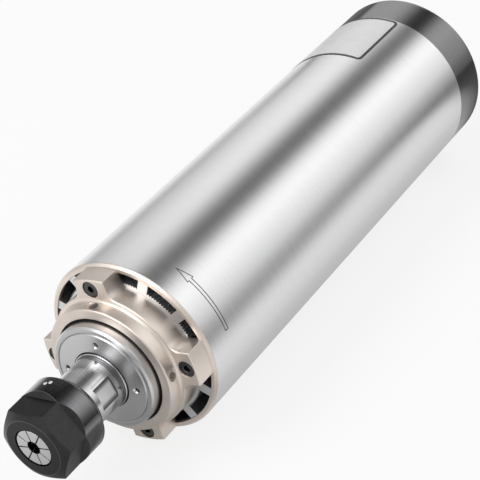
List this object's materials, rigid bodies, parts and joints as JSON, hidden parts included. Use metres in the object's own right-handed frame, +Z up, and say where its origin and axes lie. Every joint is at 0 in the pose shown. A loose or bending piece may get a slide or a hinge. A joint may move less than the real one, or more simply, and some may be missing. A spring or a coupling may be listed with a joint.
{
  "type": "motor spindle",
  "caption": "Air-cooled high-speed motor spindle: round brushed body, vented flange, ground shaft with a collet and nut, black rear cap with a connector socket.",
  "frame": {"origin": "on the shaft axis, at the front end of the sleeve that a clamp grips", "axes": "+Y along the shaft from the tool end to the rear cap, +Z up, +X to the right seen from the nose"},
  "size_m": [0.08, 0.3221, 0.08],
  "materials": {
    "brushed_stainless": "fine brushing round the tube, satin",
    "plated_flange": "machined and plated in a warm champagne tone, satin",
    "turned_steel": "turned, satin",
    "ground_steel": "ground and polished",
    "black_oxide": "black oxide with a thin oil film",
    "collet_steel": "fine ground, matte",
    "extruded_aluminium": "extruded, plain",
    "lamination_steel": "stacked sheets, varnished",
    "enamelled_copper": "enamelled copper wire, varnished",
    "cast_aluminium": "die cast, plain",
    "bearing_steel": "hardened and polished",
    "phenolic_cage": "laminated phenolic",
    "spring_steel": "blued",
    "black_nylon": "moulded",
    "black_anodised": "turned and black anodised, glossy",
    "nickel_plate": "nickel plated",
    "socket_insert": "moulded, glossy",
    "contact_brass": "gold flashed",
    "seal_rubber": "matt",
    "lead_insulation": "silicone insulation"
  },
  "bodies": {
    "housing": {"body_sleeve": "brushed_stainless", "finned_core": "extruded_aluminium", "front_flange": "plated_flange", "flange_screws": "black_oxide", "front_bearing_cap": "turned_steel", "cap_seal_ring": "seal_rubber", "front_outer_races": "bearing_steel", "outer_race_spacer": "ground_steel", "stator_core": "lamination_steel", "stator_winding": "enamelled_copper", "rear_bearing_plate": "cast_aluminium", "rear_outer_races": "bearing_steel", "preload_spring": "spring_steel", "rear_cap": "black_anodised", "rear_cap_screws": "black_oxide", "socket_shell": "nickel_plate", "socket_nut": "nickel_plate", "socket_insulator": "socket_insert", "socket_pins": "contact_brass", "lead_wires": "lead_insulation"},
    "rotor": {"shaft": "ground_steel", "front_lock_nut": "ground_steel", "front_inner_races": "bearing_steel", "inner_race_spacer": "ground_steel", "rotor_core": "lamination_steel", "rotor_cage": "cast_aluminium", "rear_inner_races": "bearing_steel", "rear_spacer": "ground_steel", "cooling_fan": "black_nylon", "fan_nut": "nickel_plate"},
    "front_ball_set": {"front_bearing_balls": "bearing_steel", "front_ball_cages": "phenolic_cage"},
    "rear_ball_set": {"rear_bearing_balls": "bearing_steel", "rear_ball_cages": "phenolic_cage"},
    "collet": {"collet": "collet_steel"},
    "collet_nut": {"collet_nut": "black_oxide"}
  },
  "joints": [
    {"name": "shaft_spin", "type": "hinge", "parent": "housing", "child": "rotor", "pos_m": [0, 0, 0], "axis": [0, 1, 0], "continuous": true},
    {"name": "front_ball_orbit", "type": "hinge", "parent": "housing", "child": "front_ball_set", "pos_m": [0, 0, 0], "axis": [0, 1, 0], "continuous": true},
    {"name": "rear_ball_orbit", "type": "hinge", "parent": "housing", "child": "rear_ball_set", "pos_m": [0, 0.19, 0], "axis": [0, 1, 0], "continuous": true},
    {"name": "collet_draw", "type": "slide", "parent": "rotor", "child": "collet", "axis": [0, -1, 0], "range_m": [0, 0.0105]},
    {"name": "nut_turn", "type": "hinge", "parent": "collet", "child": "collet_nut", "pos_m": [0, -0.055, 0], "axis": [0, -1, 0], "range_deg": [0, 2520]}
  ],
  "couplings": [
    {"joint": "front_ball_orbit", "follows": "shaft_spin", "ratio": 0.4195},
    {"joint": "rear_ball_orbit", "follows": "shaft_spin", "ratio": 0.4096},
    {"joint": "nut_turn", "follows": "collet_draw", "rad_per_m": 4188.8}
  ]
}
